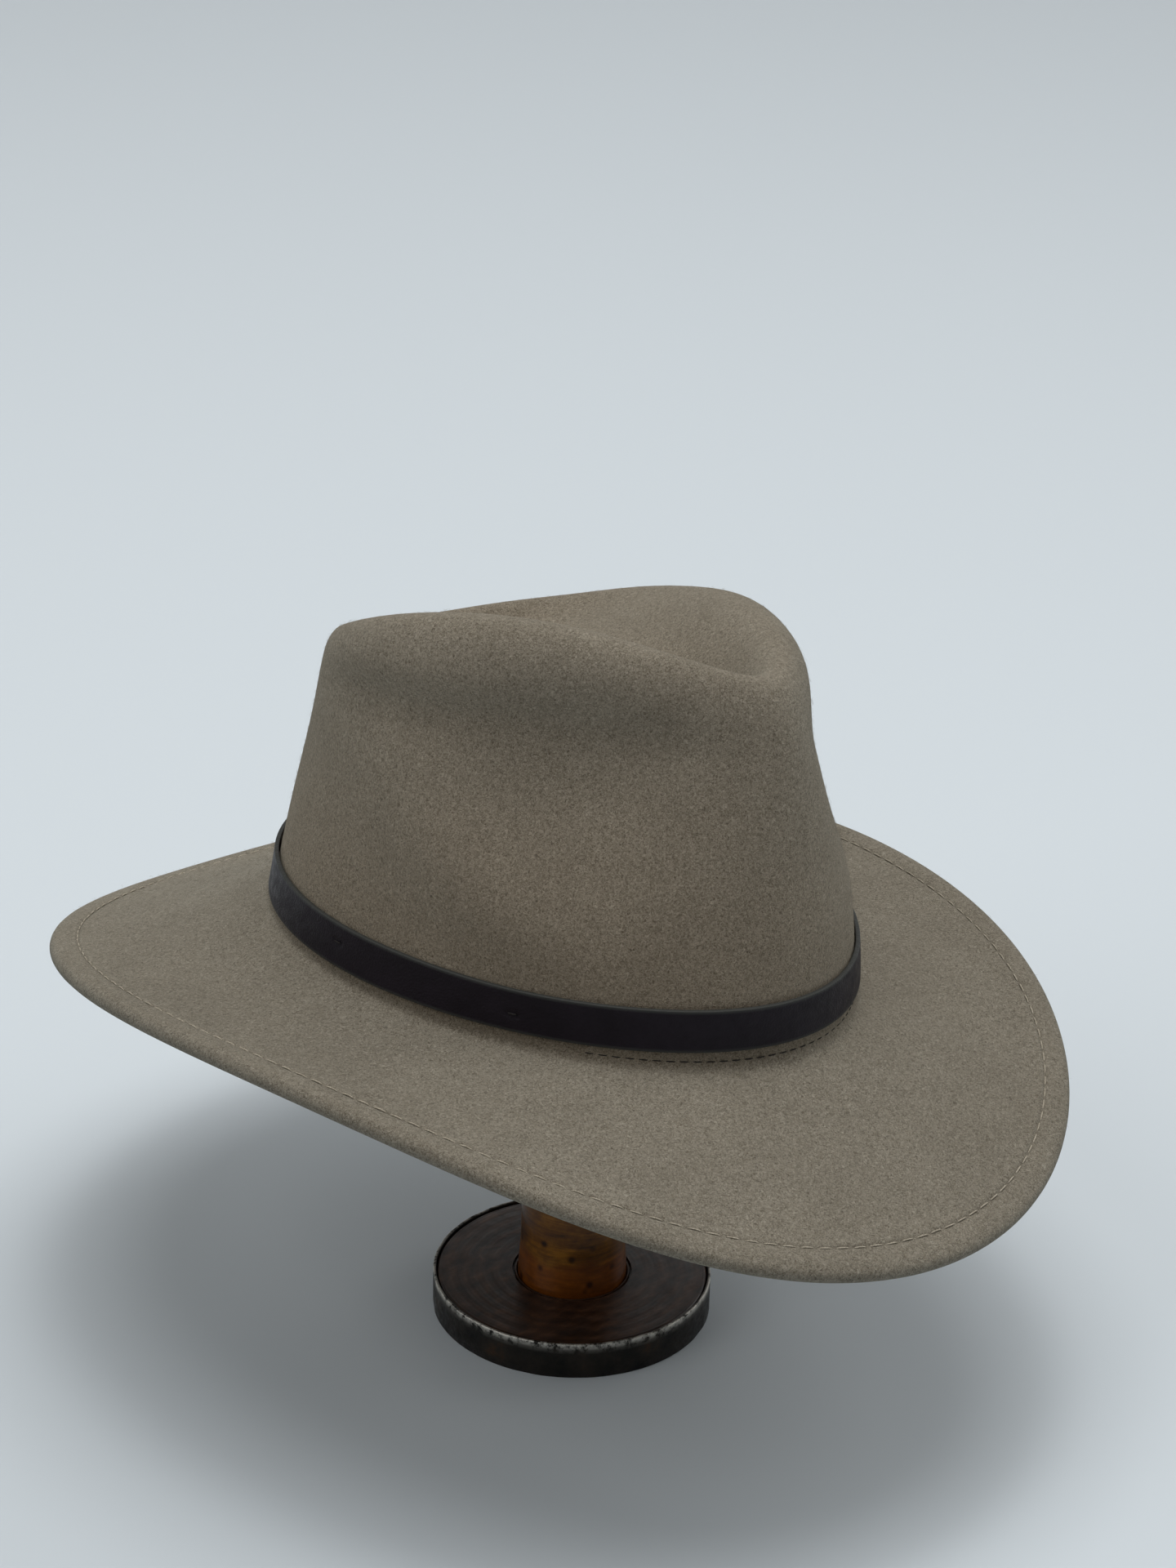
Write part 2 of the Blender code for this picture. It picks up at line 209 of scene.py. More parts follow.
def spline_weights(shares, count):
    """Weights of a clamped cubic spline with evenly spaced knots, by the usual two-term recursion."""
    knots = np.concatenate((np.zeros(3), np.linspace(0.0, 1.0, count - 2), np.ones(3)))
    shares = np.clip(shares, 0.0, 1.0 - 1e-9)[:, None]
    weights = ((knots[:-1] <= shares) & (shares < knots[1:])).astype(float)
    for step in range(1, 4):
        rise = knots[step:-1] - knots[:-step - 1]
        fall = knots[step + 1:] - knots[1:-step]
        left = (shares - knots[:-step - 1]) / np.where(rise > 0, rise, 1.0) * (rise > 0)
        right = (knots[step + 1:] - shares) / np.where(fall > 0, fall, 1.0) * (fall > 0)
        weights = left * weights[:, :-1] + right * weights[:, 1:]
    return weights


def ring_points(row, angle):
    """An egg: y follows minus cosine between its two reaches, x follows minus sine, narrower at the front."""
    front, back, half, egg = row[:4]
    ahead = front * HEAD_LENGTH / 2
    behind = back * HEAD_LENGTH / 2
    x = -half * HEAD_WIDTH / 2 * (1 - egg * np.cos(angle)) * np.sin(angle)
    y = -(ahead + behind) / 2 * np.cos(angle) - (ahead - behind) / 2
    return np.stack((x, y, CROWN_HEIGHT * around(row[4:], angle)), axis=-1)


def press_dishes(points, shares):
    """Moves the wall towards the middle by bell curves in y and z, with their own reach above and below."""
    pressed = points.copy()
    wall = 1 / (1 + np.exp((shares - WALL_SHARE) / WALL_FADE))[:, None]
    side = np.tanh(points[..., 0] / (DISH_BLEND * HEAD_WIDTH / 2))
    for depth, forward, height, along, above, below, slope in SIDE_DISHES:
        ahead = points[..., 1] + forward * HEAD_LENGTH / 2
        off_y = ahead / (along * HEAD_LENGTH / 2)
        off_z = points[..., 2] + slope * ahead - height * CROWN_HEIGHT
        off_z = off_z / (np.where(off_z > 0, above, below) * CROWN_HEIGHT)
        pressed[..., 0] -= side * depth * HEAD_WIDTH * np.exp(-off_y ** 2 - off_z ** 2) * wall
    return pressed


def crown_points(shares, angle):
    """The crown: spline through the rings, dishes pressed in, then sheared up on the wearer's right."""
    rings = np.stack([ring_points(row, angle) for row in CROWN_RINGS])
    points = np.einsum("uk,kta->uta", spline_weights(shares, len(CROWN_RINGS)), rings)
    points = press_dishes(points, shares)
    rise = np.clip(points[..., 2] / CROWN_HEIGHT, 0.0, 1.0) ** 2
    points[..., 2] -= np.tan(np.radians(CROWN_LEAN)) * points[..., 0] * rise
    return points


def head_oval(angle):
    """The head oval and its outward direction, a quarter turn from its tangent."""
    egg = CROWN_RINGS[0][3]
    points = ring_points(CROWN_RINGS[0], angle)
    along_x = -HEAD_WIDTH / 2 * ((1 - egg * np.cos(angle)) * np.cos(angle) + egg * np.sin(angle) ** 2)
    along_y = HEAD_LENGTH / 2 * np.sin(angle)
    length = np.hypot(along_x, along_y)
    return points, np.stack((-along_y / length, along_x / length, 0 * length), axis=-1)


def brim_station(angle):
    """Width, height and slope of the brim's edge at each angle."""
    table = np.array(BRIM_STATIONS)
    width = BRIM_WIDTH * around(table[:, 0], angle)
    height = -BRIM_DROP * around(table[:, 1], angle)
    return width, height, np.radians(around(table[:, 2], angle))


def brim_point(share, angle):
    """The brim's top: a parabola in the distance out from the oval that meets the edge's own slope."""
    oval, outward = head_oval(angle)
    width, height, slope = brim_station(angle)
    end_w = width - EDGE_RADIUS * np.sin(slope)
    end_z = height + EDGE_RADIUS * np.cos(slope)
    start = 2 * end_z / end_w - np.tan(slope)
    across = share * end_w
    rise = start * across + (np.tan(slope) - start) * across * share / 2
    return oval + outward * across[:, None] + UP * rise[:, None]


def surface_normals(points):
    """Outward normals: the cross product of the steps round and the steps down a closed grid."""
    round_way = np.roll(points, -1, axis=1) - np.roll(points, 1, axis=1)
    normals = np.cross(round_way, np.gradient(points, axis=0))
    return normals / np.maximum(np.linalg.norm(normals, axis=-1, keepdims=True), 1e-12)


def felt_skin(angle, crown_rows, brim_rows):
    """Outer skin of the felt from the dent's floor to the edge, with each row's thickness and its
    distance in from the sewn line. Rows crowd together at the sewn line and at the turned-in edge."""
    shares = np.linspace(1.0, 0.0, crown_rows + 1)[:-1]
    start = FOOT_FILLET / (CROWN_HEIGHT * CROWN_RINGS[1][4]) / (len(CROWN_RINGS) - 3) / 3
    rows = list(crown_points(np.append(shares, start), angle))
    oval = head_oval(angle)[0]
    width = brim_station(angle)[0]
    foot = FOOT_FILLET / width
    above = rows[-1]
    beyond = brim_point(foot, angle)
    for share in np.linspace(0, 1, 7)[1:-1]:
        rows.append((1 - share) ** 2 * above + 2 * share * (1 - share) * oval + share ** 2 * beyond)
    crown_end = len(rows)
    sewn = STITCH_INSET - EDGE_RADIUS
    welt = WELT_WIDTH - EDGE_RADIUS
    dense = np.array((welt + 0.0030, welt + 0.0016, welt + WELT_STEP / 2, welt, welt - WELT_STEP / 2,
                      sewn + 0.0009, sewn + 0.0006, sewn + 0.0003, sewn, sewn - 0.0003, sewn - 0.0006,
                      sewn - 0.0009, sewn - 0.0014, sewn - 0.0022, sewn - 0.0032, sewn - 0.0042,
                      sewn - 0.0051, sewn - 0.0058, 0.0))
    for share in np.linspace(0, 1, brim_rows, endpoint=False):
        rows.append(brim_point(foot + share * (1 - dense[0] / width - foot), angle))
    for inset in dense:
        rows.append(brim_point(1 - inset / width, angle))
    count = len(rows)
    inset = np.full(count, 1.0)
    inset[-len(dense):] = dense - sewn
    thickness = np.where(inset + sewn < welt, 2 * RIM_RADIUS, FELT_WALL)
    return np.array(rows), thickness, inset, crown_end


def seat_hat(points):
    """Turns the hat's own frame into the stand's: roll about Y, then pitch about X, then lifted in place."""
    pitch = np.radians(HAT_PITCH)
    roll = np.radians(HAT_ROLL)
    turn_x = np.array(((1, 0, 0), (0, np.cos(pitch), -np.sin(pitch)), (0, np.sin(pitch), np.cos(pitch))))
    turn_y = np.array(((np.cos(roll), 0, np.sin(roll)), (0, 1, 0), (-np.sin(roll), 0, np.cos(roll))))
    return points @ (turn_x @ turn_y).T + np.array(HAT_PLACE)


def ring_faces(rows, count, wrap=False):
    """Quads of a grid whose rows close on themselves, and whose last row may join its first."""
    first = np.arange(rows if wrap else rows - 1)[:, None] * count
    second = (first + count) % (rows * count)
    here = np.arange(count)[None, :]
    there = (here + 1) % count
    return np.stack((first + here, first + there, second + there, second + here), -1).reshape(-1, 4).tolist()


def floor_faces(start, count, flip):
    """Closes a narrow ring by joining each point to the one across from it."""
    near = np.arange(1, count // 2 - 1)
    far = count - near
    quads = np.stack((near, near + 1, far - 1, far), axis=-1)
    ends = [[0, 1, count - 1], [count // 2 - 1, count // 2, count // 2 + 1]]
    faces = [[start + corner for corner in face] for face in quads.tolist() + ends]
    return [face[::-1] for face in faces] if flip else faces


def add_to_scene(name, data):
    """An object for a mesh, light or camera, linked into the scene."""
    made = bpy.data.objects.new(name, data)
    bpy.context.scene.collection.objects.link(made)
    return made


def add_piece(name, points, faces, look, nodes=(), sharp=None):
    """Puts points and faces into a smooth mesh that rides on the hat, and gives it its finish."""
    mesh = bpy.data.meshes.new(name)
    mesh.from_pydata(np.asarray(points).reshape(-1, 3).tolist(), [], faces)
    mesh.update()
    mesh.shade_smooth()
    if sharp:
        mesh.set_sharp_from_angle(angle=np.radians(sharp))
    mesh.materials.append(look)
    piece = add_to_scene(name, mesh)
    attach(piece, "root")
    if nodes:
        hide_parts(*nodes)
    return piece


def paint(piece, name, values):
    """Stores one number a vertex, which a material reads to place a finish, or on the felt a painted shade,
    along the surface.
    """
    layer = piece.data.attributes.new(name, "FLOAT", "POINT")
    layer.data.foreach_set("value", np.asarray(values, dtype=np.float32).ravel())


def felt_hat(look):
    """Crown and brim. The skin waves by a few sines a fraction of a millimetre high, sinks into a groove
    at the sewn line by a bell curve and swells between the groove and the edge."""
    angle = round_angles(COLUMNS)
    skin, thickness, inset, crown_end = felt_skin(angle, CROWN_ROWS, BRIM_ROWS)
    normals = surface_normals(skin)
    rows = np.arange(len(skin))[:, None]
    wave = (LONG_WAVE * np.sin(5 * angle + 0.11 * rows) * np.sin(0.071 * rows + 1.0)
            + SHORT_WAVE * np.sin(9 * angle - 0.07 * rows + 2.0) * np.sin(0.11 * rows))
    wave = wave * np.clip((rows - 12) / 10.0, 0, 1) * np.clip((len(skin) - rows) / 18.0, 0, 1)
    groove = -GROOVE_DEPTH * np.exp(-(inset / GROOVE_WIDTH) ** 2)
    puff = OUTER_PUFF * np.sin(np.pi * np.clip(-inset / (STITCH_INSET - EDGE_RADIUS), 0, 1)) ** 0.7
    inner_puff = INNER_PUFF * np.exp(-((inset - 0.0016) / 0.0009) ** 2)
    relief = wave + (groove + puff + inner_puff)[:, None]
    outer = skin + normals * relief[..., None]
    lining = skin - normals * (thickness + groove * 0.8)[:, None, None]
    oval, outward = head_oval(angle)
    width, height, slope = brim_station(angle)
    middle = oval + outward * width[:, None] + UP * height[:, None]
    level = outward * np.cos(slope)[:, None] + UP * np.sin(slope)[:, None]
    upright = -outward * np.sin(slope)[:, None] + UP * np.cos(slope)[:, None]
    middle = middle - (RIM_RADIUS - EDGE_RADIUS) * (level + upright)
    outer[-1] = middle + RIM_RADIUS * upright
    lining[-1] = middle - RIM_RADIUS * upright
    turns = np.linspace(np.pi / 2, -np.pi / 2, 12)[1:-1]
    edge = np.array([middle + RIM_RADIUS * (level * np.cos(turn) + upright * np.sin(turn)) for turn in turns])
    rings = np.concatenate((outer, edge, lining[::-1]))
    count = len(angle)
    faces = ring_faces(len(rings), count)
    faces += floor_faces(0, count, True)
    faces += floor_faces((len(rings) - 1) * count, count, False)
    piece = add_piece("felt_hat", seat_hat(rings), faces, look, ("felt_body",))
    # The sewn line, where the felt's colour takes a painted shade in the groove
    near = np.exp(-(inset / 0.0007) ** 2)
    paint(piece, "groove", np.repeat(np.concatenate((near, np.zeros(len(turns)), near[::-1])), count))
    # Painted shade: nought on the outer face, rising round the turned edge to full on the inner face
    underside_shade = np.concatenate((np.zeros(len(outer)), np.linspace(0, 1, len(turns)), np.ones(len(lining))))
    paint(piece, "underside_shade", np.repeat(underside_shade, count))
    # Painted warm shade on the crown, outside and inside: strongest at its foot, fading with height
    crown = np.clip((crown_end - 2 - np.arange(len(outer))) / 6.0, 0, 1)
    low = crown[:, None] * (1 - 0.75 * np.clip(skin[..., 2] / CROWN_HEIGHT, 0, 1))
    paint(piece, "crown", np.concatenate((low, np.zeros((len(turns), count)), low[::-1])))


def wall_at(heights, angle, inside):
    """The felt wall at a height for each angle, by straight lines between the two nearest rows, and the
    level outward direction there."""
    skin, thickness, inset, crown_end = felt_skin(angle, CROWN_ROWS, BRIM_ROWS)
    normals = surface_normals(skin)
    if inside:
        skin = skin - normals * thickness[:, None, None]
    run = skin[40:crown_end][::-1]
    turn = normals[40:crown_end][::-1]
    seat = np.maximum(heights, 1.5 * FOOT_FILLET) if inside else heights
    upper = np.clip((run[..., 2] < seat).sum(axis=0), 1, len(run) - 1)
    place = np.arange(len(angle))
    low = run[upper - 1, place]
    high = run[upper, place]
    share = np.clip((seat - low[:, 2]) / (high[:, 2] - low[:, 2]), 0, 1)[:, None]
    points = low + (high - low) * share
    points[:, 2] = heights
    level = turn[upper - 1, place] * (1 - share) + turn[upper, place] * share
    level[:, 2] = 0
    return points, level / np.linalg.norm(level, axis=1)[:, None]


def strap_section(thickness, height, round_off, steps):
    """A rounded rectangle as pairs of share across and height up, walked from its inner foot."""
    corner = np.linspace(0, np.pi / 2, 4)
    run = np.linspace(round_off, height - round_off, steps)
    inner = [(0.0, up) for up in run]
    less = [(round_off * (1 - np.cos(a)), round_off * (1 - np.sin(a))) for a in corner]
    top_in = [(near, height - far) for near, far in less[1:]]
    top_out = [(thickness - far, height - near) for near, far in less[:-1]]
    outer = [(thickness, up) for up in run[::-1]]
    foot_out = [(thickness - near, far) for near, far in less[1:]]
    foot_in = [(far, near) for near, far in less[:-1]]
    return np.array(inner + top_in + top_out + outer + foot_out + foot_in)


def strap(name, angle, bottom, section, gap, relief, inside, look, nodes):
    """A leather loop: each point of the section stands off the felt wall by the gap and its own distance."""
    rows = []
    sign = -1 if inside else 1
    for across, up in section:
        points, level = wall_at(bottom + up, angle, inside)
        away = gap(up) + across + relief(across, up)
        rows.append(points + sign * level * away[:, None])
    rows = np.array(rows)
    if not inside:
        rows = rows[::-1]
    return add_piece(name, seat_hat(rows), ring_faces(len(rows), len(angle), True), look, nodes)


def band_lift(angle):
    """Height of the band's foot, which rises from back to front by half a cosine."""
    return BAND_LIFT + BAND_FRONT_LIFT * (1 + np.cos(angle)) / 2


def band_gap(angle, share):
    """How far the band stands off the felt at a share of its height: three slow waves, widest at the top."""
    return SEAT + BAND_WAVE * (0.5 + 0.5 * np.sin(3 * angle + 1.2)) * share


def cut_edges(section, height):
    """One near the top and the foot of a strap's section, nought on its faces."""
    return np.clip((np.abs(section[:, 1] - height / 2) - (height / 2 - 0.0006)) / 0.0003, 0, 1)


def hat_band(look):
    """The band stands slightly off the felt in slow waves at its top and sinks round each tack's holes."""
    angle = round_angles(BAND_COLUMNS)
    section = strap_section(BAND_THICKNESS, BAND_HEIGHT, 0.00035, 16)

    def gap(up):
        return band_gap(angle, up / BAND_HEIGHT)

    def relief(across, up):
        face = np.clip(across / BAND_THICKNESS, 0, 1)
        sink = 0.0001 * np.sin(7 * angle) * np.sin(np.pi * up / BAND_HEIGHT)
        for degrees, share in BAND_TACKS:
            along = (angle - np.radians(degrees)) * HEAD_WIDTH * 0.53
            for end in (-0.5, 0.5):
                off = (along - end * TACK_LENGTH) ** 2 + (up - share * BAND_HEIGHT) ** 2
                sink = sink - HOLE_DEPTH * np.exp(-off / 0.00042 ** 2)
            off = (along / 1.6) ** 2 + (up - share * BAND_HEIGHT) ** 2
            sink = sink - TACK_DEPTH * np.exp(-off / 0.0013 ** 2)
        return sink * face

    piece = strap("band_strap", angle, band_lift(angle), section, gap, relief, False, look,
                  ("hat_band",))
    paint(piece, "cut_edge", np.repeat(cut_edges(section[::-1], BAND_HEIGHT), len(angle)))


def sweatband(look):
    """The thin loop inside the crown, even all round, a little clear of the felt."""
    angle = round_angles(COLUMNS)
    section = strap_section(SWEATBAND_THICKNESS, SWEATBAND_HEIGHT, 0.0003, 20)
    drop = np.full(len(angle), -SWEATBAND_DROP)
    piece = strap("sweatband_loop", angle, drop, section, lambda up: SEAT, lambda across, up: 0 * angle,
                  True, look, ("sweatband",))
    paint(piece, "cut_edge", np.repeat(cut_edges(section, SWEATBAND_HEIGHT), len(angle)))


def threads(name, centres, along, up, length, radius, sink, look):
    """Short stitches: round tubes whose middle line is a shallow arch that dips in at both ends, with a
    radius that follows a half circle to a point."""
    share = np.linspace(-1, 1, 9)
    spin = round_angles(8)
    side = np.cross(up, along)
    arch = sink * (1 - 1.7 * share ** 2)
    fat = radius * np.sqrt(np.clip(1 - share ** 4, 0.0, 1.0)) + radius * 0.05
    line = (centres[:, None, :] + along[:, None, :] * (share * length / 2)[None, :, None]
            + up[:, None, :] * arch[None, :, None])
    ring = (side[:, None, None, :] * np.cos(spin)[None, None, :, None]
            + up[:, None, None, :] * np.sin(spin)[None, None, :, None])
    points = line[:, :, None, :] + ring * fat[None, :, None, None]
    count = len(centres)
    block = len(share) * len(spin)
    one = np.array(ring_faces(len(share), len(spin)))[:, ::-1]
    quads = (one[None] + np.arange(count)[:, None, None] * block).reshape(-1, 4).tolist()
    tips = np.arange(len(spin))
    ends = np.stack((tips, (block - len(spin) + tips)[::-1]))
    caps = (ends[None] + np.arange(count)[:, None, None] * block).reshape(-1, len(spin)).tolist()
    return add_piece(name, seat_hat(points), quads + caps, look)


def even_steps(path, pitch):
    """Fractional places along a closed path that divide its length into whole steps near the pitch."""
    steps = np.linalg.norm(np.roll(path, -1, axis=0) - path, axis=1)
    total = np.concatenate(((0.0,), np.cumsum(steps)))
    count = int(round(total[-1] / pitch))
    return np.interp(np.arange(count) * total[-1] / count, total, np.arange(len(path) + 1))


def sample(path, places):
    """Points of a closed path at fractional places."""
    low = np.floor(places).astype(int) % len(path)
    share = (places % 1)[:, None]
    return path[low] * (1 - share) + path[(low + 1) % len(path)] * share


def along_path(path, places):
    """Unit tangent of a closed path at fractional places."""
    tangent = np.roll(path, -1, axis=0) - np.roll(path, 1, axis=0)
    tangent = sample(tangent, places)
    return tangent / np.linalg.norm(tangent, axis=1)[:, None]


def brim_sewing(look):
    """The row of thread that holds the turned edge, on top of the brim and below it."""
    skin, thickness, inset, crown_end = felt_skin(round_angles(SEWING_COLUMNS), 8, 6)
    row = int(np.argmin(np.abs(inset)))
    normals = surface_normals(skin)[row]
    top = skin[row] - normals * (GROOVE_DEPTH - 0.00022)
    places = even_steps(top, STITCH_PITCH)
    up = sample(normals, places)
    up = up / np.linalg.norm(up, axis=1)[:, None]
    wobble = 0.00008 * np.sin(places * 0.37 + 1.0)
    inward = np.cross(up, along_path(top, places))
    threads("brim_stitches", sample(top, places) + inward * wobble[:, None], along_path(top, places), up,
            STITCH_LENGTH, THREAD_RADIUS, 0.00016, look)
    under = skin[row] - normals * (2 * RIM_RADIUS - GROOVE_DEPTH * 0.8 + 0.00012)
    threads("brim_stitches_under", sample(under, places), -along_path(under, places), -up,
            STITCH_LENGTH, THREAD_RADIUS, 0.00014, look)


def crown_seam(look):
    """Dark dashes of the sweatband's sewing at one height, as far round the front as the band clears them."""
    angle = round_angles(SEWING_COLUMNS)
    points, level = wall_at(np.full(len(angle), SEAM_HEIGHT), angle, False)
    path = points + level * 0.00004
    places = even_steps(path, SEAM_PITCH)
    turn = places / len(path) * 360
    places = places[np.minimum(turn, 360 - turn) < SEAM_REACH]
    up = sample(level, places)
    up = up / np.linalg.norm(up, axis=1)[:, None]
    threads("crown_seam_stitches", sample(path, places), along_path(path, places), up,
            SEAM_LENGTH, SEAM_RADIUS, 0.00006, look)


def band_tacks(look):
    """Two bars of dark thread across the band's needle holes."""
    fine = round_angles(SEWING_COLUMNS)
    centres = []
    ways = []
    outs = []
    for degrees, share in BAND_TACKS:
        points, level = wall_at(band_lift(fine) + share * BAND_HEIGHT, fine, False)
        path = points + level * (band_gap(fine, share) + BAND_THICKNESS - 0.00016)[:, None]
        place = np.array([degrees / 360 * SEWING_COLUMNS])
        centres.append(sample(path, place)[0])
        ways.append(along_path(path, place)[0])
        outs.append(sample(level, place)[0])
    threads("band_tack_threads", np.array(centres), np.array(ways), np.array(outs), TACK_LENGTH * 1.08,
            0.00028, 0.00010, look)


def nap(name, look, whole, seed):
    """Loose wool fibres on the crown or the brim: bent, tapered three-sided needles at seeded places."""
    choose = np.random.default_rng(seed)
    skin, thickness, inset, crown_end = felt_skin(round_angles(NAP_COLUMNS), CROWN_ROWS, BRIM_ROWS)
    normals = surface_normals(skin)
    width = np.linalg.norm(np.roll(skin, -1, axis=1) - skin, axis=-1)
    depth = np.linalg.norm(np.gradient(skin, axis=0), axis=-1)
    chance = width * depth
    if whole == "crown":
        chance[:2] = 0
        chance[crown_end:] = 0
    else:
        chance[:crown_end] = 0
    pick = choose.choice(chance.size, NAP_FIBRES, p=chance.ravel() / chance.sum())
    root = skin.reshape(-1, 3)[pick]
    up = normals.reshape(-1, 3)[pick]
    root = root + choose.normal(0, 0.0006, root.shape) * (1 - np.abs(up)) - up * 0.00005
    turn = choose.normal(0, 1, root.shape)
    flat = turn - up * (turn * up).sum(axis=1)[:, None]
    flat = flat / np.linalg.norm(flat, axis=1)[:, None]
    side = np.cross(up, flat)
    length = NAP_LENGTH * choose.uniform(0.5, 1.25, NAP_FIBRES)[:, None]
    lean = choose.uniform(0.12, 0.65, NAP_FIBRES)[:, None]
    curl = choose.uniform(-0.6, 0.6, NAP_FIBRES)[:, None]
    share = np.array((0.0, 0.5, 1.0))
    rise = length * lean * share * (1 - 0.45 * share)
    reach = length * share * (1 - 0.3 * lean)
    drift = length * curl * share ** 2
    line = (root[:, None] + up[:, None] * rise[..., None] + flat[:, None] * reach[..., None]
            + side[:, None] * drift[..., None])
    spin = round_angles(3)
    ring = (side[:, None, None] * np.cos(spin)[None, None, :, None]
            + up[:, None, None] * np.sin(spin)[None, None, :, None])
    fat = NAP_RADIUS * np.array((1.0, 0.85, 0.15))
    points = line[:, :, None] + ring * fat[None, :, None, None]
    block = np.arange(NAP_FIBRES)[:, None, None] * 9
    quads = (np.array(ring_faces(3, 3))[None] + block).reshape(-1, 4).tolist()
    caps = (np.array(((2, 1, 0), (6, 7, 8)))[None] + block).reshape(-1, 3).tolist()
    return add_piece(name, seat_hat(points), quads + caps, look)


def turned(name, profile, count, look, nodes, wobble=0.0, sharp=30):
    """A solid turned about Z from a profile of radius and height, with a slow out-of-round wobble."""
    spin = round_angles(count)
    profile = np.asarray(profile, dtype=float)
    round_off = 1 + wobble * (np.sin(2 * spin + 0.6) + 0.6 * np.sin(5 * spin))
    radius = profile[:, 0][:, None] * round_off
    points = np.stack((radius * np.cos(spin), radius * np.sin(spin),
                       np.repeat(profile[:, 1][:, None], count, axis=1)), axis=-1)
    faces = [face[::-1] for face in ring_faces(len(profile), count)]
    faces.append(list(range(count)))
    faces.append(list(range((len(profile) - 1) * count, len(profile) * count))[::-1])
    return add_piece(name, points, faces, look, nodes, sharp)


def stand_pieces(looks):
    """Plate, hoop, column and head, turned finely over the plain solids, with eased edges."""
    plate_radius = BASE_RADIUS - HOOP_THICKNESS - SEAT
    plate_top = BASE_HEIGHT - HOOP_PROUD
    socket = plate_top - SOCKET_DEPTH
    hole = COLUMN_FOOT_RADIUS + SEAT
    rings = np.linspace(hole + 0.0020, plate_radius - 0.0013, 60)
    swell = 0.00002 * np.sin(rings * 2 * np.pi / 0.0043) + 0.00001 * np.sin(rings * 2 * np.pi / 0.0017)
    groove_floor = plate_top - 0.0011
    plate = [(0.0004, socket), (hole, socket), (hole, plate_top - 0.0004),
             (hole + 0.0003, plate_top - 0.00008), (hole + 0.0007, plate_top),
             (hole + 0.0009, groove_floor), (hole + 0.0014, groove_floor),
             (hole + 0.0016, plate_top)]
    plate += list(zip(rings, plate_top + swell))
    plate += [(plate_radius - 0.0012 + 0.0012 * np.sin(a), plate_top - 0.0009 * (1 - np.cos(a)))
              for a in np.linspace(0, np.pi / 2, 7)]
    plate += [(plate_radius, 0.0004), (plate_radius - 0.0004, 0.0), (0.0004, 0.0)]
    turned("plate_disc", plate, PLATE_COLUMNS, looks["plate"], ("stand_base",))

    spin = round_angles(HOOP_COLUMNS)
    inner = BASE_RADIUS - HOOP_THICKNESS
    bend = np.linspace(0, np.pi, 7)
    middle = (inner + BASE_RADIUS) / 2
    cap = HOOP_THICKNESS / 2
    profile = [(inner, 0.0003), (inner, BASE_HEIGHT / 2)]
    profile += [(middle - cap * np.cos(a), BASE_HEIGHT - 0.0004 + 0.0004 * np.sin(a)) for a in bend]
    profile += [(BASE_RADIUS, BASE_HEIGHT * share) for share in (0.93, 0.88, 0.82, 0.7, 0.5, 0.3)]
    profile += [(BASE_RADIUS, 0.0003), (BASE_RADIUS - 0.0003, 0.0), (inner + 0.0003, 0.0)]
    profile = np.array(profile)
    outside = np.clip((profile[:, 0] - inner) / HOOP_THICKNESS, 0, 1)
    upper = np.clip((profile[:, 1] - BASE_HEIGHT * 0.6) / (BASE_HEIGHT * 0.4), 0, 1)
    dent = (0.00010 * np.sin(7 * spin + 0.4) * np.sin(3 * spin) + 0.00008 * np.sin(17 * spin)
            + 0.00006 * np.sin(29 * spin + 1.0))
    radius = profile[:, 0][:, None] + np.minimum(outside[:, None] * dent, 0.0)
    height = profile[:, 1][:, None] - upper[:, None] * np.abs(dent) * 1.2
    points = np.stack((radius * np.cos(spin), radius * np.sin(spin), height), axis=-1)
    faces = [face[::-1] for face in ring_faces(len(profile), HOOP_COLUMNS, True)]
    hoop = add_piece("iron_hoop", points, faces, looks["iron"], ("base_hoop",), 50)
    worn = np.clip(1.25 - (BASE_HEIGHT - profile[:, 1]) / 0.0022, 0, 1) * outside
    paint(hoop, "worn", np.repeat(worn, HOOP_COLUMNS))

    low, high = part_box("stand_head")
    head_top = high[2]
    head_low = head_top - HEAD_DOME - HEAD_SIDE
    column_top = head_low + HEAD_SOCKET_DEPTH
    share = np.linspace(1, 0, 14)
    flare = [(COLUMN_FOOT_RADIUS + (COLUMN_RADIUS - COLUMN_FOOT_RADIUS) * s * s * (3 - 2 * s),
              plate_top + COLUMN_FOOT_HEIGHT * s) for s in share]
    column = [(0.0004, column_top - SEAT), (COLUMN_NECK_RADIUS, column_top - SEAT),
              (COLUMN_NECK_RADIUS, head_low - SEAT), (COLUMN_RADIUS - 0.0004, head_low - SEAT),
              (COLUMN_RADIUS, head_low - SEAT - 0.0004)] + flare
    column += [(COLUMN_FOOT_RADIUS, socket + SEAT + 0.0003), (COLUMN_FOOT_RADIUS - 0.0003, socket + SEAT),
               (0.0004, socket + SEAT)]
    turned("round_column", column, COLUMN_COLUMNS, looks["column"], ("stand_column",))
    sphere = (HEAD_RADIUS ** 2 + HEAD_DOME ** 2) / (2 * HEAD_DOME)
    spread = HEAD_RADIUS * np.linspace(0.01, 1.0, 24)
    dome = list(zip(spread, head_top - sphere + np.sqrt(sphere ** 2 - spread ** 2)))
    bore = COLUMN_NECK_RADIUS + SEAT
    head = dome + [(HEAD_RADIUS, head_low + 0.0004), (HEAD_RADIUS - 0.0004, head_low), (bore, head_low),
                   (bore, column_top), (0.0004, column_top)]
    turned("round_head", head, COLUMN_COLUMNS, looks["column"], ("stand_head",))


def finish(name, colour, roughness):
    """A new surface with its shader and a texture coordinate in the stand's frame."""
    look = bpy.data.materials.new(name)
    look.use_nodes = True
    tree = look.node_tree
    shader = tree.nodes["Principled BSDF"]
    shader.inputs["Base Color"].default_value = (*colour, 1.0)
    shader.inputs["Roughness"].default_value = roughness
    place = tree.nodes.new("ShaderNodeTexCoord")
    return look, tree, shader, place.outputs["Object"]


